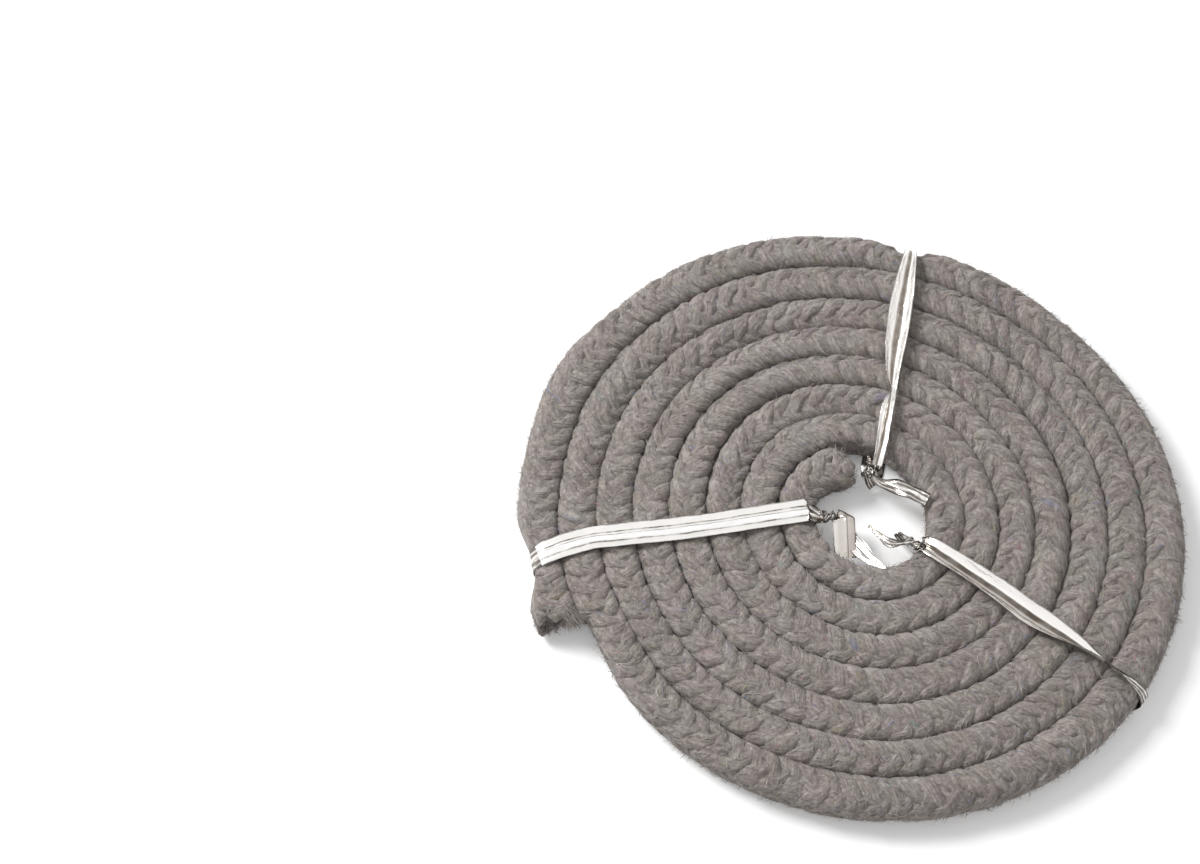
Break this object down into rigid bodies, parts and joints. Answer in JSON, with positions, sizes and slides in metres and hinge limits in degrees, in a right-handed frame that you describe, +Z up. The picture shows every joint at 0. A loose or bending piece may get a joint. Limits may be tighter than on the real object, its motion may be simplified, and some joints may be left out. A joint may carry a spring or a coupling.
{
  "type": "gland packing coil",
  "caption": "Flat coil of braided gland packing rope, wound in a spiral and held by foil covered twist ties, from which packing rings are cut.",
  "frame": {"origin": "under the middle of the coil's box, on the surface it lies on", "axes": "+Z up, through the coil's thickness; the rope's outer end is on the -X side"},
  "size_m": [0.1106, 0.1066, 0.0078],
  "materials": {
    "rope_yarn": "braided spun yarn in warm grey with coloured fibre flecks, matt and slightly hairy",
    "tie_foil": "bright metallised film over a wire core, creased where it is twisted"
  },
  "bodies": {
    "root": {"packing_rope": "rope_yarn", "twist_tie_left": "tie_foil", "twist_tie_back": "tie_foil", "twist_tie_front": "tie_foil"}
  },
  "joints": []
}
